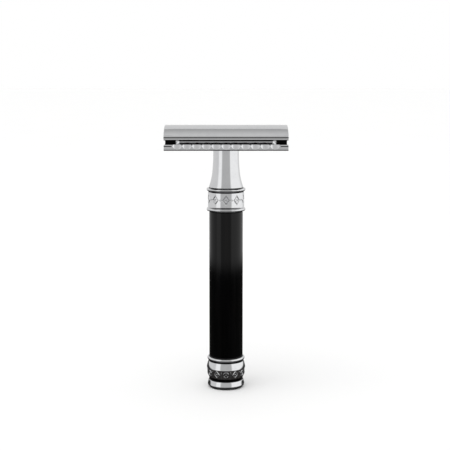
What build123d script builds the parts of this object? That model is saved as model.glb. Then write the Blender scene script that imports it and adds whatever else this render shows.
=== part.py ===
from build123d import *
import math
import os

# Three-piece double-edge safety razor, standing upright on its pommel.
# Origin: centre of the foot, on the surface it stands on. +Z runs up the handle's axis,
# +X along the cutting edges, +Y across the head. Millimetres.

# ---- driving dimensions: head ----
overall_height = 94.6
cap_length = 43.2
cap_half_depth = 10.4
cap_edge_top = 91.35
cap_edge_bottom = 89.85
end_chamfer = 0.15

bed_crest = 90.6
bed_radius = 38.2
bed_half_depth = 9.5
bed_half_length = 17.45
bed_end_slope = 40.0
bed_corner_length = 1.35
bed_corner_turn = 27.0
bed_tongue_half_depth = 5.2
bed_tongue_reach = 21.3

blade_room = 0.2

guard_length = 42.9
guard_half_depth = 12.3
guard_top = 88.4
guard_bottom = 86.3
channel_floor = 87.5
seat_height = 86.93
scallop_count = 11
scallop_pitch = 3.36
scallop_radius = 2.1
scallop_lean = 35.8
scallop_offset = 1.33
drain_slots_per_side = 4
drain_slot_pitch = 9.2

# ---- driving dimensions: screw and locating pins ----
stud_radius = 2.5
stud_bottom = 77.1
stud_top = 93.0
stud_hole_radius = 2.65
insert_bore_radius = 2.56
insert_radius = 3.3
insert_bottom = 75.3
insert_top = 86.7
pin_radius = 1.35
pin_hole_radius = 1.45
pin_offset = 14.0
pin_bottom = 87.4
pin_top = 92.4

# ---- driving dimensions: handle ----
neck_top = 86.9
neck_bottom = 72.35
spigot_radius = 4.0
neck_spigot_bottom = 58.0
rod_radius = 2.45
rod_bore_radius = 2.5
rod_top = 70.0
rod_bottom = 3.5
fit_gap = 0.05

bead_ring_bottom = 71.15
bead_radius = 0.52
neck_bead_reach = 6.93
neck_bead_height = 71.8
groove_radius = 6.05

collar_radius = 6.45
collar_bottom = 64.2
collar_bead_height = 64.72
ornament_height = 68.35
ornament_count = 10
engraving_depth = 0.18

grip_radius = 6.0
grip_bottom = 11.5
grip_top = 64.0
grip_bore_radius = 2.8
washer_radius = 5.75

pommel_bottom = 3.1
pommel_top = 9.7
pommel_spigot_top = 17.0
pommel_foot_spigot_radius = 5.4
pommel_bead_reach = 6.68
pommel_bead_height = 10.66
pommel_bead_radius = 0.62
belt_bottom = 7.25
band_bottom = 3.95
relief_height = 0.28
enamel_thickness = 0.10
nut_chamber_radius = 4.9
nut_chamber_top = 8.2
lock_washer_thickness = 0.6
nut_across_flats = 8.0
nut_height = 4.0
lower_ring_reach = 6.6
foot_radius = 5.95
foot_height = 0.7


def write(name, shape):
    """Write one node's STEP file."""
    export_step(shape, f"parts/{name}.step")


def turned(outline):
    """Solid of revolution about Z of a closed outline given as edges in (radius, height)."""
    return revolve(Plane.XZ * make_face(outline), axis=Axis.Z)


def lathe(*points):
    """Solid of revolution of a closed polygon of (radius, height) points."""
    return turned(Polyline(*points, close=True))


def tube(outer, inner, bottom, top):
    """Plain round tube between two heights, or a rod when inner is 0."""
    return lathe((inner, bottom), (outer, bottom), (outer, top), (inner, top))


def bead(reach, height, radius=bead_radius):
    """Half-round bead that stands out to the given reach."""
    return Pos(0, 0, height) * Torus(reach - radius, radius)


def block(x, y, z, centre):
    """Box of the given size about a centre."""
    return Pos(*centre) * Box(x, y, z)


def across(outline, length):
    """Prism of a closed outline in (depth, height), centred along X."""
    return extrude(Plane.YZ * make_face(outline), length / 2, both=True)


def arc_height(radius, depth):
    """Height at a depth from the axis on an arc concentric with the blade bed's."""
    return bed_crest - bed_radius + math.sqrt(radius ** 2 - depth ** 2)


def mirrored(points):
    """A half outline's points, followed by their mirror images in reverse order."""
    return list(points) + [(-y, z) for y, z in reversed(points)]


def around(shape, count, start=0.0):
    """Copies of a shape spaced evenly about Z, as one list."""
    step = 360 / count
    return [Rot(0, 0, start + i * step) * shape for i in range(count)]


# ---- head ----
def make_top_cap():
    """Crowned bar with a fine groove above its lip and a hollow underside that bends a blade."""
    under_radius = bed_radius + blade_room
    under_depth = 9.2
    under_height = arc_height(under_radius, under_depth)
    shoulder = 10.02
    lip_depth = cap_half_depth - 0.04
    crown = ThreePointArc((-shoulder, cap_edge_top), (0, overall_height), (shoulder, cap_edge_top))
    right_round = ThreePointArc(
        (shoulder, cap_edge_top),
        (shoulder + 0.28, cap_edge_top - 0.21),
        (cap_half_depth, cap_edge_top - 0.5),
    )
    side = Polyline(
        (cap_half_depth, cap_edge_top - 0.5),
        (cap_half_depth, cap_edge_top - 0.62),
        (lip_depth - 0.16, cap_edge_top - 0.74),
        (lip_depth - 0.16, cap_edge_top - 0.84),
        (lip_depth, cap_edge_top - 0.94),
        (lip_depth, cap_edge_bottom + 0.2),
        (lip_depth - 0.22, cap_edge_bottom),
        (under_depth, under_height),
    )
    hollow = ThreePointArc(
        (under_depth, under_height),
        (0, bed_crest - bed_radius + under_radius),
        (-under_depth, under_height),
    )
    right = [right_round, side]
    left = [edge.mirror(Plane.YZ) for edge in right]
    cap = across([crown, *right, hollow, *left], cap_length)
    crown_ends = cap.faces().filter_by(Axis.X).edges().filter_by(lambda e: e.length > cap_half_depth)
    cap = chamfer(crown_ends.sort_by(Axis.Z)[-2:], end_chamfer)
    cap -= tube(stud_radius, 0, 80, stud_top)
    for x in (-pin_offset, pin_offset):
        cap -= Pos(x, 0, 0) * tube(pin_radius, 0, 80, pin_top)
    return cap


def make_stud():
    """M5 stud set in the cap; the thread is its major cylinder with a chamfered tip."""
    return lathe(
        (0, stud_bottom),
        (stud_radius - 0.6, stud_bottom),
        (stud_radius, stud_bottom + 0.6),
        (stud_radius, stud_top),
        (0, stud_top),
    )


def make_pins():
    """Two round pins that locate a blade and the guard plate."""
    pin = lathe(
        (0, pin_bottom),
        (pin_radius - 0.4, pin_bottom),
        (pin_radius, pin_bottom + 0.5),
        (pin_radius, pin_top),
        (0, pin_top),
    )
    return Compound([Pos(x, 0, 0) * pin for x in (-pin_offset, pin_offset)])


def guard_base():
    """Plate with a rounded guard bar along each side and a lather channel behind each bar."""
    half = [
        (8.0, seat_height),
        (10.4, guard_bottom + 0.08),
        (11.8, guard_bottom),
        (12.15, guard_bottom + 0.12),
        (guard_half_depth, guard_bottom + 0.4),
        (guard_half_depth, guard_top - 0.5),
        (12.1, guard_top - 0.12),
        (11.7, guard_top),
        (11.15, guard_top - 0.05),
        (10.7, channel_floor),
    ]
    return across(Polyline(*mirrored(half), close=True), guard_length)


def guard_bed():
    """Crowned bed that carries a blade, with sloping ends and turned-in corners."""
    ridge = arc_height(bed_radius, bed_half_depth)
    foot = 9.0
    crown = ThreePointArc((-bed_half_depth, ridge), (0, bed_crest), (bed_half_depth, ridge))
    sides = Polyline(
        (bed_half_depth, ridge),
        (bed_half_depth, ridge - 0.45),
        (foot, channel_floor - 0.2),
        (-foot, channel_floor - 0.2),
        (-bed_half_depth, ridge - 0.45),
        (-bed_half_depth, ridge),
    )
    bed = across([crown, sides], 2 * bed_half_length)
    for side in (-1, 1):
        slope = Rot(0, -side * bed_end_slope, 0) * block(8, 30, 8, (side * 4, 0, 4))
        bed -= Pos(side * bed_half_length, 0, ridge - 1.1) * slope
        start = side * (bed_half_length - bed_corner_length)
        for front in (-1, 1):
            corner = Rot(0, 0, -side * front * bed_corner_turn) * block(6, 2, 4, (0, front, 0))
            bed -= Pos(start, front * bed_half_depth, ridge) * corner
    return bed + bed_tongues(crown, foot)


def bed_tongues(crown, foot):
    """Narrower crowned end pieces that carry a blade's tabs."""
    walls = block(2 * bed_tongue_reach, 2 * bed_tongue_half_depth, 6, (0, 0, bed_crest - 2))
    floor = channel_floor - 0.2
    base = Polyline((foot, floor), (-foot, floor))
    sides = [Line(crown @ 1, base @ 0), Line(base @ 1, crown @ 0)]
    return across([crown, base, *sides], 2 * bed_tongue_reach) & walls


def scallops():
    """Leaning round cutters that scoop the guard bars' outer faces."""
    cutters = []
    first = -(scallop_count - 1) / 2 * scallop_pitch
    for side in (-1, 1):
        for i in range(scallop_count):
            cutter = Rot(side * scallop_lean, 0, 0) * Cylinder(scallop_radius, 8)
            centre = (first + i * scallop_pitch, side * (guard_half_depth + scallop_offset), guard_top)
            cutters.append(Pos(*centre) * cutter)
    return cutters


def make_guard_plate():
    """Closed-comb guard plate: bars, scallops, drain slots, bed and the holes through it."""
    plate = guard_base() + guard_bed()
    plate -= scallops()
    first = -(drain_slots_per_side - 1) / 2 * drain_slot_pitch
    for y in (-9.85, 9.85):
        for i in range(drain_slots_per_side):
            slot = extrude(SlotOverall(7.0, 1.2), 4)
            plate -= Pos(first + i * drain_slot_pitch, y, guard_bottom - 1) * slot
    groove_length = (guard_length - scallop_count * scallop_pitch) / 2 - 0.2
    for x in (-1, 1):
        for y in (-1, 1):
            centre = (x * (guard_length - groove_length) / 2, y * guard_half_depth, guard_top - 0.62)
            plate -= Pos(*centre) * Rot(45, 0, 0) * Box(groove_length, 0.24, 0.24)
    plate -= tube(stud_hole_radius, 0, 80, 95)
    for x in (-pin_offset, pin_offset):
        plate -= Pos(x, 0, 0) * tube(pin_hole_radius, 0, 80, 95)
    return plate


# ---- handle, from the neck down ----
def make_neck():
    """Waisted neck that the head seats on, with a spigot that carries the rings and the grip."""
    flare = Spline((4.62, neck_top), (4.55, 83.0), (4.62, 80.9), (4.95, 77.3), (6.0, 73.0))
    outline = [
        Line((insert_radius, neck_top), (4.62, neck_top)),
        flare,
        Polyline(
            (6.0, 73.0),
            (6.12, 72.62),
            (5.9, neck_bottom),
            (spigot_radius, neck_bottom),
            (spigot_radius, neck_spigot_bottom),
            (rod_bore_radius, neck_spigot_bottom),
            (rod_bore_radius, rod_top + 1),
            (0, rod_top + 1),
            (0, insert_bottom),
            (insert_radius, insert_bottom),
            (insert_radius, neck_top),
        ),
    ]
    return turned(outline)


def make_bead_ring():
    """Ring with a single bead between the neck and the collar."""
    ring = tube(groove_radius, spigot_radius + fit_gap, bead_ring_bottom, neck_bottom)
    ring += bead(neck_bead_reach, neck_bead_height) & tube(8, 5, bead_ring_bottom, neck_bottom)
    return ring


def lozenge(width, height):
    """Upright rhombus."""
    return Polyline((-width / 2, 0), (0, -height / 2), (width / 2, 0), (0, height / 2), close=True)


def ornament_plate(face, radius, height, depth):
    """Flat ornament pushed through the wall at +Y, centred on a radius and a height."""
    plane = Plane(origin=(0, radius, height), x_dir=(-1, 0, 0), z_dir=(0, 1, 0))
    return extrude(plane * face, depth, both=True)


def lozenge_frame(width, height, stroke):
    """Open rhombus drawn with one stroke width."""
    return make_face(lozenge(width, height)) - make_face(lozenge(width - 2 * stroke, height - 3 * stroke))


def make_collar():
    """Collar with a bead at its foot and a band of engraved lozenges and dots."""
    collar = lathe(
        (spigot_radius + fit_gap, collar_bottom),
        (5.95, collar_bottom),
        (collar_radius, collar_bottom + 0.3),
        (collar_radius, 70.75),
        (collar_radius - 0.15, 70.95),
        (groove_radius, bead_ring_bottom),
        (spigot_radius + fit_gap, bead_ring_bottom),
    )
    collar += bead(neck_bead_reach, collar_bead_height)
    skin = tube(collar_radius + 1, collar_radius - engraving_depth, 60, 75)
    frame = ornament_plate(lozenge_frame(2.5, 3.3, 0.32), collar_radius, ornament_height, 1)
    dot = ornament_plate(Circle(0.3), collar_radius, ornament_height, 1)
    engraving = around(frame, ornament_count) + around(dot, ornament_count)
    engraving += around(dot, ornament_count, 180 / ornament_count)
    collar -= [piece & skin for piece in engraving]
    return collar


def make_grip():
    """Resin sleeve with a through bore and a counterbore at each end for the spigots."""
    counterbore = spigot_radius + 0.12
    edge = 0.25
    return lathe(
        (grip_bore_radius, pommel_spigot_top + 0.5),
        (counterbore, pommel_spigot_top + 0.5),
        (counterbore, grip_bottom),
        (grip_radius - edge, grip_bottom),
        (grip_radius, grip_bottom + edge),
        (grip_radius, grip_top - edge),
        (grip_radius - edge, grip_top),
        (counterbore, grip_top),
        (counterbore, neck_spigot_bottom - 0.5),
        (grip_bore_radius, neck_spigot_bottom - 0.5),
    )


# ---- pommel ----
def belt_edge():
    """Outer curve of the bright belt, widening downwards."""
    return ThreePointArc((6.32, pommel_top), (6.69, 8.5), (6.93, belt_bottom))


def band_curve(inset):
    """Outer curve of the ornament band, pushed inwards by an inset."""
    return ThreePointArc(
        (6.9 - inset, belt_bottom),
        (6.8 - inset, 5.6),
        (6.45 - inset, band_bottom),
    )


def band_shell(outer_inset, inner_inset):
    """Thin shell that follows the ornament band between two insets."""
    outer = band_curve(outer_inset)
    inner = band_curve(inner_inset)
    return turned([outer, inner, Line(outer @ 0, inner @ 0), Line(outer @ 1, inner @ 1)])


def band_relief():
    """Raised rings and lozenges around the band, with plain margins above and below."""
    height = (belt_bottom + band_bottom) / 2 + 0.05
    reach = 6.6
    ring = ornament_plate(Circle(1.0) - Circle(0.68), reach, height, 0.8)
    boss = ornament_plate(Circle(0.3), reach, height, 0.8)
    frame = ornament_plate(lozenge_frame(1.9, 2.5, 0.26), reach, height, 0.8)
    stop = ornament_plate(Rectangle(0.24, 1.5), reach, height, 0.8)
    pairs = 6
    step = 180 / pairs
    motif = around(ring, pairs) + around(boss, pairs)
    motif += around(frame, pairs, step) + around(boss, pairs, step)
    motif += around(stop, 2 * pairs, step / 2)
    return motif


def make_pommel_body(relief):
    """Barrel-shaped pommel: bright belt, recessed band with raised ornament, and its spigots."""
    rim = 0.06
    floor = band_curve(relief_height)
    outline = [
        Polyline(
            (rod_bore_radius, pommel_spigot_top),
            (spigot_radius, pommel_spigot_top),
            (spigot_radius, pommel_top),
            (6.32, pommel_top),
        ),
        belt_edge(),
        Line((6.93, belt_bottom), floor @ 0),
        floor,
        Polyline(
            floor @ 1,
            (groove_radius, band_bottom - rim),
            (groove_radius, pommel_bottom),
            (pommel_foot_spigot_radius, pommel_bottom),
            (pommel_foot_spigot_radius, foot_height),
            (nut_chamber_radius, foot_height),
            (nut_chamber_radius, nut_chamber_top),
            (rod_bore_radius, nut_chamber_top),
            (rod_bore_radius, pommel_spigot_top),
        ),
    ]
    body = turned(outline)
    skin = band_shell(0.04, relief_height + 0.05)
    return body + [piece & skin for piece in relief]


def make_enamel(relief):
    """Black fill on the floor of the band, between the raised ornaments."""
    return band_shell(relief_height - enamel_thickness, relief_height) - relief


def make_lower_ring():
    """Rounded ring pressed on the pommel's lower spigot."""
    inner = pommel_foot_spigot_radius + fit_gap
    bottom = foot_height + 0.05
    bevel = Polyline((inner, pommel_bottom), (6.08, pommel_bottom), (lower_ring_reach - 0.24, 2.55))
    roll = ThreePointArc(
        (lower_ring_reach - 0.24, 2.55),
        (lower_ring_reach - 0.08, 1.9),
        (lower_ring_reach, bottom + 0.2),
    )
    base = Polyline(
        (lower_ring_reach, bottom + 0.2),
        (lower_ring_reach - 0.12, bottom),
        (inner, bottom),
        (inner, pommel_bottom),
    )
    return turned([bevel, roll, base])


def make_nut():
    """M5 hexagon nut in the pommel's chamber."""
    bottom = nut_chamber_top - lock_washer_thickness - nut_height
    hexagon = RegularPolygon(nut_across_flats / 2, 6, major_radius=False)
    nut = extrude(Pos(0, 0, bottom) * (hexagon - Circle(rod_bore_radius)), nut_height)
    crown = lathe((0, bottom - 0.6), (4.0, bottom), (5.2, bottom + 0.9), (5.2, 20), (0, 20))
    return nut & crown


def make_foot_pad():
    """Foot disc with a plug that closes the nut chamber."""
    plug = nut_chamber_radius - fit_gap
    return lathe(
        (0, 0),
        (foot_radius - 0.2, 0),
        (foot_radius, 0.2),
        (foot_radius, foot_height),
        (plug, foot_height),
        (plug, 2.4),
        (0, 2.4),
    )


def main():
    os.makedirs("parts", exist_ok=True)
    relief = band_relief()
    ring_bore = spigot_radius + fit_gap
    pommel_bead_ring = tube(groove_radius, ring_bore, pommel_top, grip_bottom - 0.2)
    pommel_bead_ring += bead(pommel_bead_reach, pommel_bead_height, pommel_bead_radius)

    write("top_cap", make_top_cap())
    write("cap_threaded_stud", make_stud())
    write("cap_locating_pins", make_pins())
    write("guard_plate", make_guard_plate())

    write("neck", make_neck())
    write("neck_thread_insert", tube(insert_radius, insert_bore_radius, insert_bottom, insert_top))
    write("bead_ring", make_bead_ring())
    write("engraved_collar", make_collar())
    write("upper_seal_washer", tube(washer_radius, ring_bore, grip_top, collar_bottom))
    write("grip_sleeve", make_grip())
    write("core_rod", tube(rod_radius, 0, rod_bottom, rod_top))
    write("lower_seal_washer", tube(washer_radius, ring_bore, grip_bottom - 0.2, grip_bottom))

    write("pommel_bead_ring", pommel_bead_ring)
    write("pommel_body", make_pommel_body(relief))
    write("pommel_enamel_fill", make_enamel(relief))
    write("pommel_lower_ring", make_lower_ring())
    write(
        "lock_washer",
        tube(4.4, rod_bore_radius + 0.1, nut_chamber_top - lock_washer_thickness, nut_chamber_top),
    )
    write("tie_nut", make_nut())
    write("foot_pad", make_foot_pad())


main()
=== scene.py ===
import math

import bmesh
import bpy
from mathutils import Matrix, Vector

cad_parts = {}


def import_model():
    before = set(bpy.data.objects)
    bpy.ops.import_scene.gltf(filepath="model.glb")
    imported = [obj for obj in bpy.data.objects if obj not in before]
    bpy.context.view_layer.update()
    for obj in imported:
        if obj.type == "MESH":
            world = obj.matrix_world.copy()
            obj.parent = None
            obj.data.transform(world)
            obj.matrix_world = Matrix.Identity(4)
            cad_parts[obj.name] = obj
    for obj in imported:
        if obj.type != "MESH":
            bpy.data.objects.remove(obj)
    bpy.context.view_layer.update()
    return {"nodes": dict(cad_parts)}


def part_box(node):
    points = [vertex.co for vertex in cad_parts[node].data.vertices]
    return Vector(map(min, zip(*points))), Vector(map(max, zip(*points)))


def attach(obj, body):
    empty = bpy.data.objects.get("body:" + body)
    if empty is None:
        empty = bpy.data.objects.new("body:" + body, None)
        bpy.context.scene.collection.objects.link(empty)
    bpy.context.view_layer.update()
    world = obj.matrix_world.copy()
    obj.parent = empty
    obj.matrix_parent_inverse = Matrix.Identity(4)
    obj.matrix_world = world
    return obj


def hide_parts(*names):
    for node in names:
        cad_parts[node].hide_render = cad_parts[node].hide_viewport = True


# Detailed model of a three-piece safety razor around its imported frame. Blender works in metres;
# outlines here are in millimetres, as (radius, height) for turned pieces and (depth, height) for
# the head. Heights and overall sizes come from the boxes of the frame's nodes.

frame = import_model()
nodes = frame["nodes"]
MM = 0.001
SHARP_EDGE = math.radians(32)


def corners(node):
    """A CAD node's lowest and highest corners in millimetres."""
    low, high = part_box(node)
    return low / MM, high / MM


# ------------------------------------------------------------------ outlines
def rounded(points, closed=True, steps=5):
    """Outline with its corners rounded: points are (a, b) or (a, b, corner radius)."""
    out = []
    count = len(points)
    for i, point in enumerate(points):
        here = Vector(point[:2])
        radius = point[2] if len(point) > 2 else 0
        at_end = not closed and i in (0, count - 1)
        if radius <= 0 or at_end:
            out.append(tuple(here))
            continue
        back = Vector(points[i - 1][:2]) - here
        ahead = Vector(points[(i + 1) % count][:2]) - here
        half = back.angle(ahead) / 2
        reach = min(radius / math.tan(half), 0.48 * back.length, 0.48 * ahead.length)
        radius = reach * math.tan(half)
        towards = (back.normalized() + ahead.normalized()).normalized()
        centre = here + towards * (radius / math.sin(half))
        first = here + back.normalized() * reach - centre
        last = here + ahead.normalized() * reach - centre
        start = math.atan2(first.y, first.x)
        turn = (math.atan2(last.y, last.x) - start + math.pi) % (2 * math.pi) - math.pi
        for k in range(steps + 1):
            angle = start + turn * k / steps
            out.append((centre.x + radius * math.cos(angle), centre.y + radius * math.sin(angle)))
    return out


def arc(centre, radius, start, end, steps):
    """Points on a circular arc between two angles in degrees."""
    a, b = centre
    angles = [math.radians(start + (end - start) * k / steps) for k in range(steps + 1)]
    return [(a + radius * math.cos(t), b + radius * math.sin(t)) for t in angles]


def arc_through(first, middle, last, steps):
    """Points on the circular arc through three points."""
    (ax, ay), (bx, by), (cx, cy) = first, middle, last
    d = 2 * (ax * (by - cy) + bx * (cy - ay) + cx * (ay - by))
    a2, b2, c2 = ax * ax + ay * ay, bx * bx + by * by, cx * cx + cy * cy
    ux = (a2 * (by - cy) + b2 * (cy - ay) + c2 * (ay - by)) / d
    uy = (a2 * (cx - bx) + b2 * (ax - cx) + c2 * (bx - ax)) / d
    radius = math.hypot(ax - ux, ay - uy)
    start = math.degrees(math.atan2(ay - uy, ax - ux))
    end = math.degrees(math.atan2(cy - uy, cx - ux))
    end = start + (end - start + 180) % 360 - 180
    return arc((ux, uy), radius, start, end, steps)


def smooth_curve(points, steps):
    """Catmull-Rom curve through points."""
    ends = [2 * Vector(points[0]) - Vector(points[1]), 2 * Vector(points[-1]) - Vector(points[-2])]
    line = [ends[0], *[Vector(p) for p in points], ends[1]]
    out = []
    for p0, p1, p2, p3 in zip(line, line[1:], line[2:], line[3:]):
        for k in range(steps):
            t = k / steps
            out.append(tuple(0.5 * (
                2 * p1 + (p2 - p0) * t
                + (2 * p0 - 5 * p1 + 4 * p2 - p3) * t ** 2
                + (3 * p1 - p0 - 3 * p2 + p3) * t ** 3
            )))
    return out + [tuple(points[-1])]


def divided(points, step):
    """Open line of points with no gap longer than a step."""
    out = []
    for a, b in zip(points, points[1:]):
        parts = max(1, math.ceil(math.dist(a, b) / step))
        out += [tuple(Vector(a).lerp(Vector(b), k / parts)) for k in range(parts)]
    return out + [tuple(points[-1])]


# ------------------------------------------------------------------ meshes
def piece(name, verts, faces, body, replaced, material):
    """Finished piece from vertices in millimetres: welded, smooth-shaded, riding on its body."""
    mesh = bpy.data.meshes.new(name)
    mesh.from_pydata([(x * MM, y * MM, z * MM) for x, y, z in verts], [], faces)
    work = bmesh.new()
    work.from_mesh(mesh)
    bmesh.ops.remove_doubles(work, verts=work.verts, dist=2e-7)
    bmesh.ops.dissolve_degenerate(work, edges=work.edges, dist=1e-7)
    bmesh.ops.recalc_face_normals(work, faces=work.faces)
    work.to_mesh(mesh)
    work.free()
    obj = bpy.data.objects.new(name, mesh)
    bpy.context.scene.collection.objects.link(obj)
    mesh.materials.append(material)
    shade(mesh)
    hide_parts(*replaced)
    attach(obj, body)
    return obj


def shade(mesh):
    """Smooth shading that leaves clear edges sharp."""
    mesh.shade_smooth()
    mesh.set_sharp_from_angle(angle=SHARP_EDGE)


def lathe_mesh(outline, sides, relief=None):
    """Vertices and faces of a closed (radius, height) outline turned about Z.

    relief(angle, radius, height) gives how far the surface stands out there.
    """
    verts, faces = [], []
    count = len(outline)
    for i in range(sides):
        angle = 2 * math.pi * i / sides
        for r, z in outline:
            reach = r + (relief(angle, r, z) if relief else 0)
            verts.append((reach * math.sin(angle), -reach * math.cos(angle), z))
    for i in range(sides):
        here, there = i * count, ((i + 1) % sides) * count
        for k in range(count):
            n = (k + 1) % count
            faces.append((here + k, there + k, there + n, here + n))
    return verts, faces


def turned(name, outline, body, material, sides=144, relief=None):
    """Turned piece that stands for the CAD node of the same name."""
    verts, faces = lathe_mesh(outline, sides, relief)
    return piece(name + "_shell", verts, faces, body, [name], material)


def inset(outline, amount):
    """Closed outline moved inwards along its own normals."""
    area = sum(a[0] * b[1] - b[0] * a[1] for a, b in zip(outline, outline[1:] + outline[:1]))
    side = 1 if area > 0 else -1
    out = []
    for i, here in enumerate(outline):
        before, after = outline[i - 1], outline[(i + 1) % len(outline)]
        along = Vector((after[0] - before[0], after[1] - before[1]))
        if along.length < 1e-9:
            out.append(here)
            continue
        normal = Vector((-along.y, along.x)).normalized() * side * amount
        out.append((here[0] + normal.x, here[1] + normal.y))
    return out


def swept(stations, section, round_end):
    """Vertices and faces of an outline that changes along X, with rounded ends."""
    low, high = stations[0], stations[-1]
    bend = [math.radians(22.5 * k) for k in range(5)]
    curve = [(round_end * (1 - math.cos(t)), round_end * (1 - math.sin(t))) for t in bend]
    loops = [(low + along, inset(section(low), inwards)) for along, inwards in curve]
    loops += [(x, section(x)) for x in stations if low + round_end < x < high - round_end]
    loops += [(high - along, inset(section(high), inwards)) for along, inwards in reversed(curve)]
    verts, faces = [], []
    count = len(loops[0][1])
    for x, outline in loops:
        verts += [(x, y, z) for y, z in outline]
    for i in range(len(loops) - 1):
        here, there = i * count, (i + 1) * count
        for k in range(count):
            n = (k + 1) % count
            faces.append((here + k, there + k, there + n, here + n))
    faces.append(tuple(range(count)))
    faces.append(tuple(range(len(verts) - count, len(verts)))[::-1])
    return verts, faces


def cut(obj, cutters):
    """Removes upright prisms, given as (outline, bottom, top), from a piece."""
    verts, faces = [], []
    for outline, bottom, top in cutters:
        base, count = len(verts), len(outline)
        verts += [(x, y, z) for z in (bottom, top) for x, y in outline]
        faces.append(tuple(base + k for k in reversed(range(count))))
        faces.append(tuple(base + count + k for k in range(count)))
        for k in range(count):
            n = (k + 1) % count
            faces.append((base + k, base + n, base + count + n, base + count + k))
    mesh = bpy.data.meshes.new("cutter")
    mesh.from_pydata([(x * MM, y * MM, z * MM) for x, y, z in verts], [], faces)
    tool = bpy.data.objects.new("cutter", mesh)
    bpy.context.scene.collection.objects.link(tool)
    boolean = obj.modifiers.new("holes", "BOOLEAN")
    boolean.operation = "DIFFERENCE"
    boolean.solver = "EXACT"
    boolean.object = tool
    apply_modifiers(obj)
    bpy.data.objects.remove(tool)


def apply_modifiers(obj):
    """Replaces a piece's mesh by its evaluated one."""
    evaluated = obj.evaluated_get(bpy.context.evaluated_depsgraph_get())
    mesh = bpy.data.meshes.new_from_object(evaluated)
    obj.modifiers.clear()
    obj.data = mesh


# ------------------------------------------------------------------ materials
class Shader:
    """Short way to write a material's nodes."""

    def __init__(self, name, **sockets):
        self.material = bpy.data.materials.new(name)
        self.material.use_nodes = True
        self.tree = self.material.node_tree
        self.bsdf = self.tree.nodes["Principled BSDF"]
        for socket, value in sockets.items():
            self.bsdf.inputs[socket.replace("_", " ")].default_value = value
        coords = self.tree.nodes.new("ShaderNodeTexCoord")
        self.place = coords.outputs["Object"]

    def put(self, value, socket):
        """Links an output to a socket, or sets its value."""
        if isinstance(value, bpy.types.NodeSocket):
            self.tree.links.new(value, socket)
        else:
            socket.default_value = value

    def math(self, operation, *values):
        """Result of a maths operation on values or outputs."""
        node = self.tree.nodes.new("ShaderNodeMath")
        node.operation = operation
        for value, socket in zip(values, node.inputs):
            self.put(value, socket)
        return node.outputs[0]

    def xyz(self):
        """The point's X, Y and Z in millimetres."""
        node = self.tree.nodes.new("ShaderNodeSeparateXYZ")
        self.put(self.place, node.inputs[0])
        return [self.math("DIVIDE", out, MM) for out in node.outputs]

    def stretched(self, scale):
        """Object coordinates in millimetres, multiplied by a scale for each axis."""
        node = self.tree.nodes.new("ShaderNodeVectorMath")
        node.operation = "MULTIPLY"
        self.put(self.place, node.inputs[0])
        node.inputs[1].default_value = [s / MM for s in scale]
        return node.outputs[0]

    def noise(self, scale, detail, roughness=0.55):
        """Noise whose cells are 1/scale millimetres across on each axis."""
        node = self.tree.nodes.new("ShaderNodeTexNoise")
        node.inputs["Scale"].default_value = 1.0
        node.inputs["Detail"].default_value = detail
        node.inputs["Roughness"].default_value = roughness
        self.put(self.stretched(scale), node.inputs["Vector"])
        return node.outputs[0]

    def span(self, value, low, high, to_low=0.0, to_high=1.0):
        """Maps a range smoothly on to another."""
        node = self.tree.nodes.new("ShaderNodeMapRange")
        node.interpolation_type = "SMOOTHSTEP"
        for given, socket in zip((value, low, high, to_low, to_high), node.inputs):
            self.put(given, socket)
        return node.outputs[0]

    def mix(self, amount, first, second):
        """Colour between two colours."""
        node = self.tree.nodes.new("ShaderNodeMix")
        node.data_type = "RGBA"
        self.put(amount, node.inputs[0])
        for value, socket in zip((first, second), (node.inputs[6], node.inputs[7])):
            if not isinstance(value, bpy.types.NodeSocket):
                value = (*value, 1.0)
            self.put(value, socket)
        return node.outputs[2]

    def bump(self, height, distance, strength):
        """Surface relief of a distance in millimetres where the height is 1."""
        node = self.tree.nodes.new("ShaderNodeBump")
        node.inputs["Strength"].default_value = strength
        node.inputs["Distance"].default_value = distance * MM
        self.put(height, node.inputs["Height"])
        self.put(node.outputs[0], self.bsdf.inputs["Normal"])

    def set(self, socket, value):
        """Links an output to one of the surface's sockets, or sets its value."""
        self.put(value, self.bsdf.inputs[socket])


CHROME = (0.80, 0.805, 0.815)
CHROME_DULL = (0.765, 0.77, 0.785)
# Near-black painted into grooves and hollows as shade, and in the handle's grooves also as patina.
SHADE_AND_PATINA_BLACK = (0.010, 0.0095, 0.010)


def chrome(name, scratch, shaded=()):
    """Polished chrome plate: hairline polish marks, dull spots, and near-black painted shade in grooves
    and hollows, which on the handle also stands for patina.

    scratch is the noise scale of the hairlines on each axis. Each painted-shade region in shaded is a
    list of (axis, low, high, softness) ranges in millimetres that it lies within, where the axis is "z",
    "r" for the distance from the handle's axis, or "x" or "y", both without their sign.
    """
    s = Shader(name, Metallic=1.0)
    x, y, z = s.xyz()
    radius = s.math("SQRT", s.math("ADD", s.math("MULTIPLY", x, x), s.math("MULTIPLY", y, y)))
    axes = {"z": z, "r": radius, "y": s.math("ABSOLUTE", y), "x": s.math("ABSOLUTE", x)}
    # Painted shade: inside any shaded region the plate turns near-black and rougher.
    painted_shade = 0.0
    for ranges in shaded:
        inside = 1.0
        for axis, low, high, soft in ranges:
            enter = s.span(axes[axis], low - soft, low + soft)
            leave = s.span(axes[axis], high - soft, high + soft, 1.0, 0.0)
            inside = s.math("MULTIPLY", inside, s.math("MULTIPLY", enter, leave))
        painted_shade = s.math("MAXIMUM", painted_shade, inside)
    film = s.span(s.noise((0.35, 0.35, 0.35), 4.0), 0.42, 0.72)
    hairline = s.noise(scratch, 2.0)
    plate = s.mix(film, CHROME, CHROME_DULL)
    plate = s.mix(s.span(s.noise((2.4, 2.4, 2.4), 2.0), 0.70, 0.78, 0.0, 0.35), plate, CHROME_DULL)
    s.set("Base Color", s.mix(painted_shade, plate, SHADE_AND_PATINA_BLACK))
    polish = s.span(hairline, 0.3, 0.75, 0.045, 0.105)
    polish = s.math("ADD", polish, s.math("MULTIPLY", film, 0.02))
    s.set("Roughness", s.math("MAXIMUM", polish, s.math("MULTIPLY", painted_shade, 0.35)))
    s.bump(hairline, 0.0012, 0.5)
    return s.material


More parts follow.
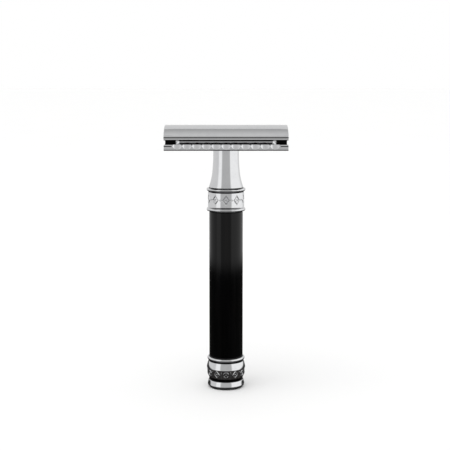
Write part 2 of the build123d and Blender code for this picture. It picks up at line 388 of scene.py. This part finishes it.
def resin():
    """Polished black resin with faint ebony-like streaks along the handle."""
    s = Shader("black_resin", Specular_IOR_Level=0.27)
    streak = s.noise((1.6, 1.6, 0.035), 5.0, 0.62)
    cloud = s.noise((0.22, 0.22, 0.05), 3.0)
    base = s.mix(s.span(streak, 0.46, 0.72), (0.0004, 0.0004, 0.0004), (0.0022, 0.0018, 0.0017))
    s.set("Base Color", s.mix(s.span(cloud, 0.4, 0.8, 0.0, 0.5), base, (0.0010, 0.0011, 0.0014)))
    scuff = s.span(s.noise((3.0, 3.0, 9.0), 3.0), 0.6, 0.8, 0.0, 0.05)
    s.set("Roughness", s.math("ADD", s.span(streak, 0.3, 0.8, 0.07, 0.12), scuff))
    s.bump(streak, 0.002, 0.3)
    return s.material


def enamel():
    """Blackened recess: satin, slightly brown and pitted."""
    s = Shader("black_enamel", Specular_IOR_Level=0.35)
    mottle = s.noise((2.2, 2.2, 2.2), 5.0, 0.65)
    grain = s.noise((9.0, 9.0, 9.0), 3.0)
    base = s.mix(s.span(mottle, 0.35, 0.7), (0.012, 0.011, 0.012), (0.045, 0.040, 0.037))
    s.set("Base Color", base)
    s.set("Roughness", s.span(grain, 0.3, 0.7, 0.28, 0.55))
    s.bump(s.math("ADD", s.math("MULTIPLY", mottle, 0.6), grain), 0.03, 0.8)
    return s.material


def turned_steel(name, base, dull, rings):
    """Bare turned metal with fine tool rings along Z."""
    s = Shader(name, Metallic=1.0)
    ring = s.noise((0.4, 0.4, rings), 3.0)
    stain = s.span(s.noise((0.8, 0.8, 0.8), 4.0), 0.45, 0.7)
    s.set("Base Color", s.mix(s.math("MULTIPLY", stain, 0.6), base, dull))
    s.set("Roughness", s.math("ADD", s.span(ring, 0.3, 0.7, 0.20, 0.36), s.math("MULTIPLY", stain, 0.08)))
    s.bump(ring, 0.006, 0.6)
    return s.material


def matt(name, base, lift, scale, rough, pits):
    """Dull moulded material with a fine grain: rubber and fibre."""
    s = Shader(name, Specular_IOR_Level=0.35)
    grain = s.noise((scale, scale, scale), 5.0, 0.65)
    wear = s.span(s.noise((0.6, 0.6, 0.6), 4.0), 0.5, 0.75)
    s.set("Base Color", s.mix(s.math("MULTIPLY", wear, 0.6), base, lift))
    s.set("Roughness", s.span(grain, 0.3, 0.7, rough - 0.08, rough + 0.08))
    s.bump(grain, pits, 0.8)
    return s.material


# ------------------------------------------------------------------ head
CAP_EDGE_DROP = 3.25
CAP_LIP_DROP = 4.75


def make_cap(material):
    """Crowned cap: one smooth arc, rounded shoulders, a groove and a lip along each side."""
    low, high = corners("top_cap")
    top, edge = high.z, high.z - CAP_EDGE_DROP
    depth, lip_bottom = high.y, high.z - CAP_LIP_DROP
    shoulder, groove, lip, hollow_depth = depth - 0.38, depth - 0.2, depth - 0.04, 9.2
    crown = arc_through((-shoulder, edge), (0, top), (shoulder, edge), 72)
    side = rounded([
        (shoulder, edge),
        (depth, edge - 0.02, 0.34),
        (depth, edge - 0.5, 0.04),
        (groove, edge - 0.58, 0.03),
        (groove, edge - 0.74, 0.03),
        (lip, edge - 0.82, 0.05),
        (lip, lip_bottom + 0.02, 0.2),
        (lip - 0.3, lip_bottom - 0.02, 0.05),
        (hollow_depth, low.z),
    ], closed=False)
    hollow = arc_through((hollow_depth, low.z), (0, low.z + 1.12), (-hollow_depth, low.z), 36)
    outline = crown + side[1:] + hollow[1:-1] + [(-y, z) for y, z in reversed(side[1:])]
    half = high.x
    stations = [half * k / 6 for k in range(-6, 7)]
    verts, faces = swept(stations, lambda x: outline, 0.16)
    return piece("top_cap_shell", verts, faces, "cap", ["top_cap"], material)


# Sizes of the guard plate. Heights are over its underside, and a tongue is the narrower end of the
# bed. Stations lie SKIP to each side of a place where the outline changes suddenly.
SCALLOP_COUNT = 11
SCALLOP_PITCH = 3.36
SCALLOP_RADIUS = 2.1
SCALLOP_LEAN = math.radians(35.8)
SCALLOP_OFFSET = 1.33
FLOOR_HEIGHT = 1.2
BAR_HEIGHT = 2.1
BED_RADIUS = 38.2
BED_DEPTH = 9.5
BED_HALF_LENGTH = 17.45
BED_CORNER = 1.35
BED_TURN = math.radians(27)
TONGUE_REACH = 21.3
TONGUE_HALF_DEPTH = 5.2
END_GROOVE_LENGTH = 2.75
SKIP = 0.01


def scoop_depth(x, z, face, top):
    """Distance of a scallop's curved wall from the middle plane, at a point along the guard bar."""
    reach, outside = SCALLOP_COUNT * SCALLOP_PITCH / 2, face + 9
    if abs(x) >= reach:
        return outside
    across = (x + reach) % SCALLOP_PITCH - SCALLOP_PITCH / 2
    bow = math.sqrt(max(0, 1 - (across / SCALLOP_RADIUS) ** 2))
    axis = face + SCALLOP_OFFSET + (top - z) * math.tan(SCALLOP_LEAN)
    return axis - SCALLOP_RADIUS / math.cos(SCALLOP_LEAN) * bow


def soft_min(a, b, blend=0.05):
    """The lesser of two values, rounded where they meet."""
    h = max(blend - abs(a - b), 0) / blend
    return min(a, b) - h * h * blend / 4


def bed_height(y, crest):
    """Height of the bed's crowned top at a depth."""
    return crest - BED_RADIUS + math.sqrt(BED_RADIUS ** 2 - y * y)


def guard_section(low, high):
    """The guard plate's outline as a function of the place along it."""
    bottom, face, end, crest = low.z, high.y, high.x, high.z
    seat, floor, top = bottom + 0.63, bottom + FLOOR_HEIGHT, bottom + BAR_HEIGHT
    foot, edge_radius, rows = bottom + 0.42, 0.42, 32
    ridge = bed_height(BED_DEPTH, crest)
    ridge_depth = BED_DEPTH - 0.05
    under = rounded([
        (0, seat), (8.0, seat, 1.2), (10.4, bottom + 0.08, 1.2), (11.8, bottom, 0.3), (face, foot)
    ], closed=False, steps=4)
    heights = [foot + (top - foot) * k / rows for k in range(1, rows + 1)]
    slope = [(9.0, floor), (9.1, floor + 0.3), (BED_DEPTH - 0.04, ridge - 0.64)]
    slope += [(BED_DEPTH, ridge - 0.56), (BED_DEPTH, ridge - 0.06)]
    depths = [ridge_depth * k / 20 for k in range(21)]
    depths += [TONGUE_HALF_DEPTH, TONGUE_HALF_DEPTH + SKIP]
    crown = [(y, bed_height(y, crest)) for y in sorted(depths, reverse=True)]

    def bar(x):
        """Front of the guard bar: scallops, and a fine groove at each end."""
        line = []
        for z in heights:
            over = max(0, z - (top - edge_radius))
            wall = face - edge_radius + math.sqrt(max(0, edge_radius ** 2 - over ** 2))
            if abs(x) > end - END_GROOVE_LENGTH:
                wall -= 0.19 * max(0, 1 - abs(z - (top - 0.62)) / 0.16)
            line.append((soft_min(wall, scoop_depth(x, z, face, top)), z))
        return line

    def bed(x):
        """Half of the bed: its turned-in corner, its slanting end, and the narrower tongue."""
        limit = bottom + 2.0 + (BED_HALF_LENGTH - abs(x)) / math.tan(math.radians(40))
        past = abs(x) - (BED_HALF_LENGTH - BED_CORNER)
        line = []
        for y, z in slope + crown:
            if y <= TONGUE_HALF_DEPTH and abs(x) <= TONGUE_REACH:
                line.append((y, z))
                continue
            if abs(x) > BED_HALF_LENGTH:
                line.append((min(y, 9.0), floor))
                continue
            if past > 0:
                y = min(max(y, ridge_depth if z < ridge else 0), BED_DEPTH - past * math.tan(BED_TURN))
            line.append((y, min(z, max(floor, limit))))
        return line

    def section(x):
        outer = bar(x)
        lip = outer[-1][0]
        inner = min(11.15, lip - 0.14)
        ledge = [(lip - 0.03, top), ((lip + inner) / 2, top), (inner + 0.05, top - 0.02)]
        drop = [(inner, top - 0.07), (10.86, floor + 0.25), (10.72, floor + 0.05), (10.6, floor)]
        channel = [(y, floor) for y in (10.2, 9.9, 9.6)]
        half = under + outer + ledge + drop + channel + bed(x)
        return half + [(-y, z) for y, z in reversed(half[1:-1])]

    return section


def guard_stations(end):
    """Places along the guard plate at which its outline is worked out."""
    reach, steps, step_over = SCALLOP_COUNT * SCALLOP_PITCH / 2, 24, 0.004
    corner = BED_HALF_LENGTH - BED_CORNER
    half = [end, end - 1.4, end - END_GROOVE_LENGTH - SKIP, end - END_GROOVE_LENGTH + SKIP, reach + SKIP]
    half += [BED_HALF_LENGTH, BED_HALF_LENGTH + step_over, TONGUE_REACH, TONGUE_REACH + step_over]
    half += [corner - SKIP, *[corner + BED_CORNER * k / 6 for k in range(6)]]
    stations = [SCALLOP_PITCH * k / steps - reach for k in range(SCALLOP_COUNT * steps + 1)]
    stations += half + [-x for x in half]
    return sorted(set(round(x, 4) for x in stations))


def drain_slot(x, y):
    """Outline of a slot along X with round ends."""
    half_length, radius = 2.9, 0.6
    return arc((x + half_length, y), radius, -90, 90, 8) + arc((x - half_length, y), radius, 90, 270, 8)


def make_guard(material):
    """Closed-comb guard plate with its scallops, bed, drain slots and holes."""
    low, high = corners("guard_plate")
    verts, faces = swept(guard_stations(high.x), guard_section(low, high), 0.1)
    guard = piece("guard_plate_shell", verts, faces, "guard", ["guard_plate"], material)
    stud_hole, pin_hole, pin_place = 2.65, 1.45, 14
    slot_count, slot_pitch, slot_depth = 4, 9.2, 9.85
    cutters = []
    for x, radius in ((0, stud_hole), (-pin_place, pin_hole), (pin_place, pin_hole)):
        cutters.append((arc((x, 0), radius, 0, 360, 48)[:-1], low.z - 1, high.z + 1))
    for y in (-slot_depth, slot_depth):
        for k in range(slot_count):
            slot = drain_slot(slot_pitch * (k - (slot_count - 1) / 2), y)
            cutters.append((slot, low.z - 1, low.z + 2.5))
    cut(guard, cutters)
    shade(guard.data)
    return guard


def make_stud(material):
    """M5 stud with its real helical thread."""
    low, high = corners("cap_threaded_stud")
    pitch, depth, radius, chamfer = 0.8, 0.43, high.x, 0.6

    def thread(angle, r, z):
        if r < radius / 2:
            return 0
        turn = ((z - low.z) / pitch + angle / (2 * math.pi)) % 1
        root = min(1, max(0, (abs(turn - 0.5) * 2 - 0.12) / 0.72))
        fade = min(1, max(0, (z - low.z) / 0.4))
        return -depth * root * fade

    tip = [(0.0, low.z), (1.0, low.z), (radius - chamfer, low.z)]
    wall = divided([(radius, low.z + chamfer), (radius, high.z)], pitch / 12)
    outline = tip + wall + [(0.0, high.z)]
    return turned("cap_threaded_stud", outline, "cap", material, sides=72, relief=thread)


def make_pins(material):
    """Two locating pins with rounded tips."""
    name = "cap_locating_pins"
    low, high = corners(name)
    radius = (high.y - low.y) / 2
    outline = rounded([(0, low.z), (radius, low.z, 0.45), (radius, high.z), (0, high.z)])
    verts, faces = [], []
    for x in (low.x + radius, high.x - radius):
        base = len(verts)
        pin_verts, pin_faces = lathe_mesh(outline, 48)
        verts += [(x + a, b, c) for a, b, c in pin_verts]
        faces += [tuple(base + k for k in face) for face in pin_faces]
    return piece(name + "_shell", verts, faces, "cap", [name], material)


# ------------------------------------------------------------------ handle
def make_neck(material):
    """Waisted neck with its spigot and bore."""
    low, high = corners("neck")
    foot = corners("bead_ring")[1].z
    insert_seat = corners("neck_thread_insert")[0].z
    rod_room = corners("core_rod")[1].z + 1.0
    waist = [(4.55, 2.3), (4.57, 4.3), (4.72, 7.0), (4.96, 9.6), (5.42, 12.0), (6.0, 13.9)]
    flare = smooth_curve([(4.6, high.z)] + [(r, high.z - drop) for r, drop in waist], 8)
    outline = [(3.3, high.z), (4.5, high.z), *flare[1:]]
    outline += rounded([flare[-1], (6.13, foot + 0.27, 0.1), (5.85, foot)], closed=False)[1:]
    outline += [(4.0, foot), (4.0, low.z), (2.5, low.z), (2.5, rod_room), (0, rod_room)]
    outline += [(0, insert_seat), (3.3, insert_seat)]
    return turned("neck", outline, "handle", material, sides=160)


RING_BORE = 4.05
RING_CORE = 6.05


def make_bead_ring(name, bead_height, bead_radius, material):
    """Ring with one bead standing off its core, at a height above the ring's foot."""
    low, high = corners(name)
    centre = high.x - bead_radius
    side = math.degrees(math.acos((RING_CORE - centre) / bead_radius))
    bead = arc((centre, low.z + bead_height), bead_radius, -side, side, 24)
    outline = [(RING_BORE, low.z), (RING_CORE, low.z), *bead, (RING_CORE, high.z), (RING_BORE, high.z)]
    return turned(name, outline, "handle", material)


def lozenge(u, v, half_width, half_height):
    """Signed distance to a rhombus, roughly in millimetres: negative inside."""
    size = half_width * half_height / math.hypot(half_width, half_height)
    return (abs(u) / half_width + abs(v) / half_height - 1) * size


def step_down(distance, soft):
    """1 inside a shape, 0 outside, with a soft edge."""
    t = min(1, max(0, 0.5 - distance / (2 * soft)))
    return t * t * (3 - 2 * t)


def repeat(angle, count, radius, start):
    """Arc length from the nearest of a number of evenly spaced places."""
    step = 2 * math.pi / count
    return ((angle - start + step / 2) % step - step / 2) * radius


def make_collar(material):
    """Collar: wall engraved with lozenges and dots, and a bead at its foot."""
    low, high = corners("engraved_collar")
    wall, bead_radius = 6.45, 0.52
    bottom, top = low.z + 2.0, high.z - 0.65
    middle = (bottom + top) / 2
    count, line_width, dot_radius, engraved = 10, 0.24, 0.3, 0.17

    def engraving(angle, r, z):
        if r < wall - 0.15 or not bottom < z < top:
            return 0
        u, v = repeat(angle, count, wall, math.pi), z - middle
        between = repeat(angle, count, wall, math.pi + math.pi / count)
        outer = lozenge(u, v, 1.25, 1.65)
        frame_line = max(outer, -(outer + line_width))
        dot = math.hypot(u, v) - dot_radius
        beside = math.hypot(between, v) - dot_radius
        return -engraved * max(step_down(d, 0.05) for d in (frame_line, dot, beside))

    bead = arc((high.x - bead_radius, low.z + bead_radius), bead_radius, -90, 90, 20)
    outline = [(RING_BORE, low.z), (6.3, low.z), *bead, (wall, low.z + 1.3)]
    outline += divided([(wall, bottom), (wall, top)], 0.07)
    outline += rounded([
        (wall, top), (wall, top + 0.28, 0.12), (wall - 0.15, top + 0.47, 0.08), (wall - 0.4, high.z)
    ], closed=False)[1:]
    outline += [(RING_BORE, high.z)]
    return turned("engraved_collar", outline, "handle", material, sides=420,
                  relief=engraving)


def make_grip(material):
    """Straight resin sleeve with softly rounded ends and a socket for a spigot in each."""
    low, high = corners("grip_sleeve")
    lower_stop = corners("pommel_body")[1].z + 0.5
    upper_stop = corners("neck")[0].z - 0.5
    bore, socket, radius, edge = 2.8, 4.12, high.x, 0.3
    outline = rounded([
        (bore, lower_stop), (socket, lower_stop), (socket, low.z), (radius, low.z, edge),
        (radius, high.z, edge), (socket, high.z), (socket, upper_stop), (bore, upper_stop),
    ], steps=8)
    return turned("grip_sleeve", outline, "handle", material, sides=192)


BAND_LOW, BAND_HIGH = [corner.z for corner in corners("pommel_enamel_fill")]
BAND_MIDDLE = (BAND_LOW + BAND_HIGH) / 2
RELIEF = 0.28


def band_arc(under, steps):
    """Curve of the ornament band from its foot up, sunk by an amount."""
    foot, middle, top = (6.45 - under, BAND_LOW), (6.8 - under, BAND_MIDDLE), (6.9 - under, BAND_HIGH)
    return arc_through(foot, middle, top, steps)


def band_ring(outer, under):
    """Outline of a ring from an outer curve to one that is sunk by an amount."""
    return outer + band_arc(under, 8)[::-1]


def band_ornament(angle, r, z):
    """Raised rings and lozenges with bosses, and upright bars between them."""
    radius, count, soft = 6.6, 6, 0.11
    if r < 6.0 or not BAND_LOW + 0.1 < z < BAND_HIGH - 0.1:
        return 0
    v = z - BAND_MIDDLE - 0.05
    ring_u = repeat(angle, count, radius, math.pi)
    frame_u = repeat(angle, count, radius, math.pi + math.pi / count)
    bar_u = repeat(angle, 2 * count, radius, math.pi + math.pi / (2 * count))
    ring = abs(math.hypot(ring_u, v) - 0.93) - 0.2
    boss = min(math.hypot(ring_u, v), math.hypot(frame_u, v)) - 0.3
    frame_line = abs(lozenge(frame_u, v, 0.95, 1.3)) - 0.15
    bar = max(abs(bar_u) - 0.16, abs(v) - 1.0)
    return RELIEF * max(step_down(d, soft) for d in (ring, boss, frame_line, bar))


def make_pommel(material, ornament_material):
    """Pommel: plain turned body, and its cast ornament band as a denser ring."""
    high = corners("pommel_body")[1]
    belt_top = corners("pommel_bead_ring")[0].z
    ring_low, ring_high = [corner.z for corner in corners("pommel_lower_ring")]
    socket_top = corners("lock_washer")[1].z
    bore, spigot, socket = 2.5, 4.0, 4.9
    belt_edge, belt_foot = (6.36, belt_top - 0.12), (high.x, BAND_HIGH + 0.06)
    outline = [(bore, high.z), (spigot, high.z), (spigot, belt_top)]
    outline += rounded([(spigot, belt_top), (6.3, belt_top, 0.08), belt_edge], closed=False)[1:]
    outline += arc_through(belt_edge, (6.69, belt_top - 1.2), belt_foot, 20)[1:]
    outline += [(6.90, BAND_HIGH), (6.55, BAND_HIGH - 0.02), *band_arc(0.40, 14)[-2:0:-1]]
    outline += [(6.05, BAND_LOW - 0.05), (6.05, ring_high), (5.4, ring_high), (5.4, ring_low)]
    outline += [(socket, ring_low), (socket, socket_top), (bore, socket_top)]
    turned("pommel_body", outline, "handle", material, sides=160)
    ring = band_ring(divided(band_arc(RELIEF, 40), 0.07), RELIEF + 0.2)
    verts, faces = lathe_mesh(ring, 540, band_ornament)
    name, node = "pommel_ornament_ring", "pommel_body"
    piece(name, verts, faces, "handle", [node], ornament_material)


def make_enamel(material):
    """Blackened fill between the raised ornaments."""
    outline = band_ring(band_arc(RELIEF - 0.10, 28), RELIEF + 0.1)
    return turned("pommel_enamel_fill", outline, "handle", material, sides=192)


def make_lower_ring(material):
    """Ring that widens downwards, with a rounded foot."""
    low, high = corners("pommel_lower_ring")
    bore, foot = 5.45, low.z
    outline = rounded([
        (bore, high.z), (5.98, high.z, 0.04), (6.24, foot + 1.89, 0.08), (high.x, foot + 0.4, 0.15),
        (high.x - 0.1, foot + 0.01, 0.06), (bore, foot)
    ], closed=False, steps=8)
    return turned("pommel_lower_ring", outline, "handle", material)


def make_foot(material):
    """Foot disc with a rounded rim, and the plug that holds it in the pommel."""
    low, high = corners("foot_pad")
    rim, plug, rim_top = high.x, 4.85, 0.7
    outline = rounded([
        (0, low.z), (rim, low.z, 0.25), (rim, rim_top, 0.08), (plug, rim_top), (plug, high.z), (0, high.z)
    ])
    return turned("foot_pad", outline, "handle", material)


def dress(material, *names):
    """Gives CAD nodes a better material."""
    for name in names:
        nodes[name].data.materials.clear()
        nodes[name].data.materials.append(material)


# ------------------------------------------------------------------ studio
def floor():
    """Pale plain floor, left out of mirror reflections so that the tent alone shapes them."""
    size = 6.0
    square = [(-size, -size, 0), (size, -size, 0), (size, size, 0), (-size, size, 0)]
    mesh = bpy.data.meshes.new("floor")
    mesh.from_pydata(square, [], [(0, 1, 2, 3)])
    obj = bpy.data.objects.new("floor", mesh)
    bpy.context.scene.collection.objects.link(obj)
    s = Shader("pale_floor", Roughness=0.8, Specular_IOR_Level=0.1)
    s.set("Base Color", s.mix(s.noise((0.01, 0.01, 0.01), 2.0), (0.84, 0.84, 0.84), (0.86, 0.86, 0.855)))
    mesh.materials.append(s.material)
    obj.visible_glossy = False


def ramp(s, value, stops, interpolation="EASE"):
    """Grey ramp with (position, brightness) stops."""
    node = s.tree.nodes.new("ShaderNodeValToRGB")
    node.color_ramp.interpolation = interpolation
    while len(node.color_ramp.elements) < len(stops):
        node.color_ramp.elements.new(0.5)
    for element, (position, level) in zip(node.color_ramp.elements, stops):
        element.position = position
    for element, (position, level) in zip(node.color_ramp.elements, stops):
        element.color = (level, level, level, 1)
    s.put(value, node.inputs[0])
    return node.outputs[0]


def ramp_around(s, turn, stops):
    """Grey ramp around the tent with (degrees from the front, brightness) stops."""
    around = s.math("DIVIDE", s.math("ADD", turn, 180.0), 360.0)
    return ramp(s, around, [((angle + 180) / 360, level) for angle, level in stops])


def glow(s, strength):
    """Turns a material into plain light of a given strength."""
    emission = s.tree.nodes.new("ShaderNodeEmission")
    s.put(strength, emission.inputs["Strength"])
    s.put(emission.outputs[0], s.tree.nodes["Material Output"].inputs["Surface"])


def mirrored_only(name, verts, faces, material):
    """Part of the studio that only mirror reflections see."""
    mesh = bpy.data.meshes.new(name)
    mesh.from_pydata(verts, [], faces)
    mesh.materials.append(material)
    obj = bpy.data.objects.new(name, mesh)
    bpy.context.scene.collection.objects.link(obj)
    obj.visible_camera = False
    obj.visible_diffuse = False
    obj.visible_shadow = False
    obj.visible_transmission = False


# Size of the light tent in metres. Its brightness is worked out in millimetres and degrees.
TENT_RADIUS = 0.35
TENT_BOTTOM = -0.45
TENT_TOP = 0.44
TENT_SIDES = 96

# Brightness of the studio's parts, chosen as plain studio light.
PANEL = 0.50
SHADE = 0.25
BACKDROP = 0.35
UNDER_PANELS = 0.05
ROOF_MIDDLE = 0.70
ROOF_EDGE = 0.40


def tent_corner(i, z):
    """Corner of the tent, counted from its front."""
    angle = 2 * math.pi * i / TENT_SIDES
    return TENT_RADIUS * math.sin(angle), -TENT_RADIUS * math.cos(angle), z


def tent_wall():
    """Studio that bright metal mirrors: narrow panel on the left, wide one on the right."""
    verts, faces = [], []
    for i in range(TENT_SIDES):
        n = (i + 1) % TENT_SIDES
        verts += [tent_corner(i, TENT_BOTTOM), tent_corner(i, TENT_TOP)]
        faces.append((2 * i, 2 * n, 2 * n + 1, 2 * i + 1))
    s = Shader("tent_light")
    x, y, z = s.xyz()
    turn = s.math("MULTIPLY", s.math("ARCTAN2", x, s.math("MULTIPLY", y, -1.0)), 180 / math.pi)
    light = ramp_around(s, turn, [
        (-180, BACKDROP), (-70, BACKDROP), (-60, PANEL), (-40, PANEL), (-30, SHADE),
        (30, SHADE), (40, PANEL), (110, PANEL), (150, BACKDROP), (180, BACKDROP)
    ])
    light = s.math("MULTIPLY", light, s.span(z, -20.0, 0.0, UNDER_PANELS, 1.0))
    glow(s, s.math("MULTIPLY", light, 2.0))
    mirrored_only("tent_wall", verts, faces, s.material)


def tent_roof():
    """Soft roof of the tent, brightest over the middle."""
    s = Shader("tent_roof_light")
    depth = s.math("ABSOLUTE", s.xyz()[1])
    glow(s, s.span(depth, 0.0, 1000 * TENT_RADIUS, ROOF_MIDDLE, ROOF_EDGE))
    ring = [tent_corner(TENT_SIDES // 2 - i, TENT_TOP) for i in range(TENT_SIDES)]
    mirrored_only("tent_roof", ring, [tuple(range(TENT_SIDES))], s.material)


def soft_sun(name, direction, strength, spread):
    """Soft directional light that neither the camera nor the metal sees."""
    data = bpy.data.lights.new(name, "SUN")
    data.energy = strength
    data.angle = math.radians(spread)
    obj = bpy.data.objects.new(name, data)
    bpy.context.scene.collection.objects.link(obj)
    obj.rotation_mode = "QUATERNION"
    obj.rotation_quaternion = Vector(direction).to_track_quat("-Z", "Y")
    obj.visible_camera = False
    obj.visible_glossy = False


def world():
    """White surroundings for the eye, and dim ones for mirror reflections."""
    scene = bpy.context.scene
    scene.world = bpy.data.worlds.new("studio")
    scene.world.use_nodes = True
    tree = scene.world.node_tree
    background = tree.nodes["Background"]
    background.inputs["Color"].default_value = (1, 1, 1, 1)
    path = tree.nodes.new("ShaderNodeLightPath")
    mix = tree.nodes.new("ShaderNodeMapRange")
    tree.links.new(path.outputs["Is Glossy Ray"], mix.inputs["Value"])
    mix.inputs["To Min"].default_value = 1.0
    mix.inputs["To Max"].default_value = 0.16
    tree.links.new(mix.outputs[0], background.inputs["Strength"])


def camera():
    """Camera a little above the head, looking slightly down, as for a product photograph."""
    data = bpy.data.cameras.new("camera")
    data.lens = 88.23
    data.sensor_width = 36.0
    data.shift_y = -0.06
    data.clip_start = 0.01
    obj = bpy.data.objects.new("camera", data)
    bpy.context.scene.collection.objects.link(obj)
    obj.location = (-0.00037, -0.38988, 0.11444)
    obj.rotation_euler = (math.radians(90 - 6.705), 0, 0)
    bpy.context.scene.camera = obj


# ------------------------------------------------------------------ painted shade and patina in grooves and hollows
# Start of a range that has no lower end: x and y are without their sign.
NO_START = -1


def cap_painted_shade():
    """Painted shade on the cap: the groove over its lip and its hollow underside, coloured near-black."""
    low, high = corners("top_cap")
    edge, lip_bottom = high.z - CAP_EDGE_DROP, high.z - CAP_LIP_DROP
    groove = [("y", 8, high.y - 0.02, 0.01), ("z", edge - 0.85, edge - 0.45, 0.03)]
    hollow = [("y", NO_START, high.y - 0.06, 0.02), ("z", low.z - 1.7, lip_bottom + 0.17, 0.05)]
    return [groove, hollow]


def guard_painted_shade():
    """Painted shade on the guard plate: below its ridges and bars, in its fine grooves and along its
    edges, coloured near-black.
    """
    low, high = corners("guard_plate")
    bottom, face, end = low.z, high.y, high.x
    start, top = bottom + FLOOR_HEIGHT - 0.3, bottom + BAR_HEIGHT
    # Each range below is painted near-black as shade.
    ridge = [
        ("x", NO_START, BED_HALF_LENGTH - BED_CORNER - 0.05, 0.04),
        ("y", NO_START, BED_DEPTH + 0.12, 0.03),
        ("z", start, top + 0.4, 0.04),
    ]
    channel = [
        ("x", NO_START, end - 0.05, 0.04),
        ("y", NO_START, 10.8, 0.05),
        ("z", start, top - 0.07, 0.03),
    ]
    tongue = [
        ("x", BED_HALF_LENGTH + 0.07, TONGUE_REACH - 0.02, 0.04),
        ("y", NO_START, TONGUE_HALF_DEPTH + 0.8, 0.05),
        ("z", start, high.z - 0.62, 0.04),
    ]
    end_groove = [
        ("x", end - END_GROOVE_LENGTH + 0.02, end - 0.05, 0.05),
        ("y", face - 0.5, face - 0.06, 0.02),
        ("z", top - 0.78, top - 0.5, 0.04),
    ]
    # Painted shade along the bar's bottom edge.
    bottom_edge = [("y", face - 0.7, face + 0.2, 0.05), ("z", bottom - 0.3, bottom + 0.28, 0.05)]
    return [ridge, channel, tongue, end_groove, bottom_edge]


def handle_patina_and_shade(name, *ranges):
    """Heights of a handle part painted near-black, partly as groove patina and partly as painted shade,
    given as distances from its foot.
    """
    foot = corners(name)[0].z
    return [[("z", foot + start, foot + stop, soft)] for start, stop, soft in ranges]


# ------------------------------------------------------------------ assembly
along_head = (0.3, 14.0, 14.0)
along_neck = (10.0, 10.0, 0.25)
around_handle = (0.5, 0.5, 16.0)

head_chrome = chrome("head_chrome", along_head)
# The cap and guard chromes carry painted shade: their grooves, hollows and edges are coloured near-black.
cap_chrome = chrome("cap_chrome", along_head, cap_painted_shade())
guard_chrome = chrome("guard_chrome", along_head, guard_painted_shade())
# Neck, collar, pommel and band grooves: near-black that is partly patina and partly painted shade.
neck_chrome = chrome("neck_chrome", along_neck, handle_patina_and_shade("neck", (2, 14.58, 0.05)))
# Painted shade: each ring's core beside its bead is coloured near-black.
ring_chrome = chrome("ring_chrome", around_handle, [[("r", 3, RING_CORE + 0.11, 0.04)]])
collar_chrome = chrome("collar_chrome", along_neck, handle_patina_and_shade("engraved_collar", (6.73, 7.8, 0.04)))
pommel_chrome = chrome("pommel_chrome", around_handle,
                       handle_patina_and_shade("pommel_body", (1.8, 3.22, 0.04), (8.92, 19.3, 0.05)))
ornament_chrome = chrome("ornament_chrome", around_handle,
                         handle_patina_and_shade("pommel_enamel_fill", (3.24, 3.45, 0.03)))
steel = turned_steel("stud_steel", (0.52, 0.52, 0.53), (0.40, 0.39, 0.38), 9.0)
brass = turned_steel("insert_brass", (0.72, 0.55, 0.27), (0.55, 0.40, 0.20), 8.0)
fibre = matt("seal_fibre", (0.020, 0.020, 0.021), (0.05, 0.05, 0.05), 5.0, 0.7, 0.01)
rubber = matt("foot_rubber", (0.016, 0.016, 0.017), (0.045, 0.045, 0.046), 4.0, 0.65, 0.012)

make_cap(cap_chrome)
make_guard(guard_chrome)
make_stud(steel)
make_pins(head_chrome)

make_neck(neck_chrome)
make_bead_ring("bead_ring", 0.65, 0.52, ring_chrome)
make_collar(collar_chrome)
make_grip(resin())
make_bead_ring("pommel_bead_ring", 0.96, 0.62, ring_chrome)
make_pommel(pommel_chrome, ornament_chrome)
make_enamel(enamel())
make_lower_ring(ring_chrome)
make_foot(rubber)
dress(steel, "core_rod", "tie_nut", "lock_washer")
dress(brass, "neck_thread_insert")
dress(fibre, "upper_seal_washer", "lower_seal_washer")

bpy.context.scene.view_settings.view_transform = "Standard"
floor()
tent_wall()
tent_roof()
world()
soft_sun("front_light", (0.35, 0.45, -1.0), 0.85, 60)
camera()
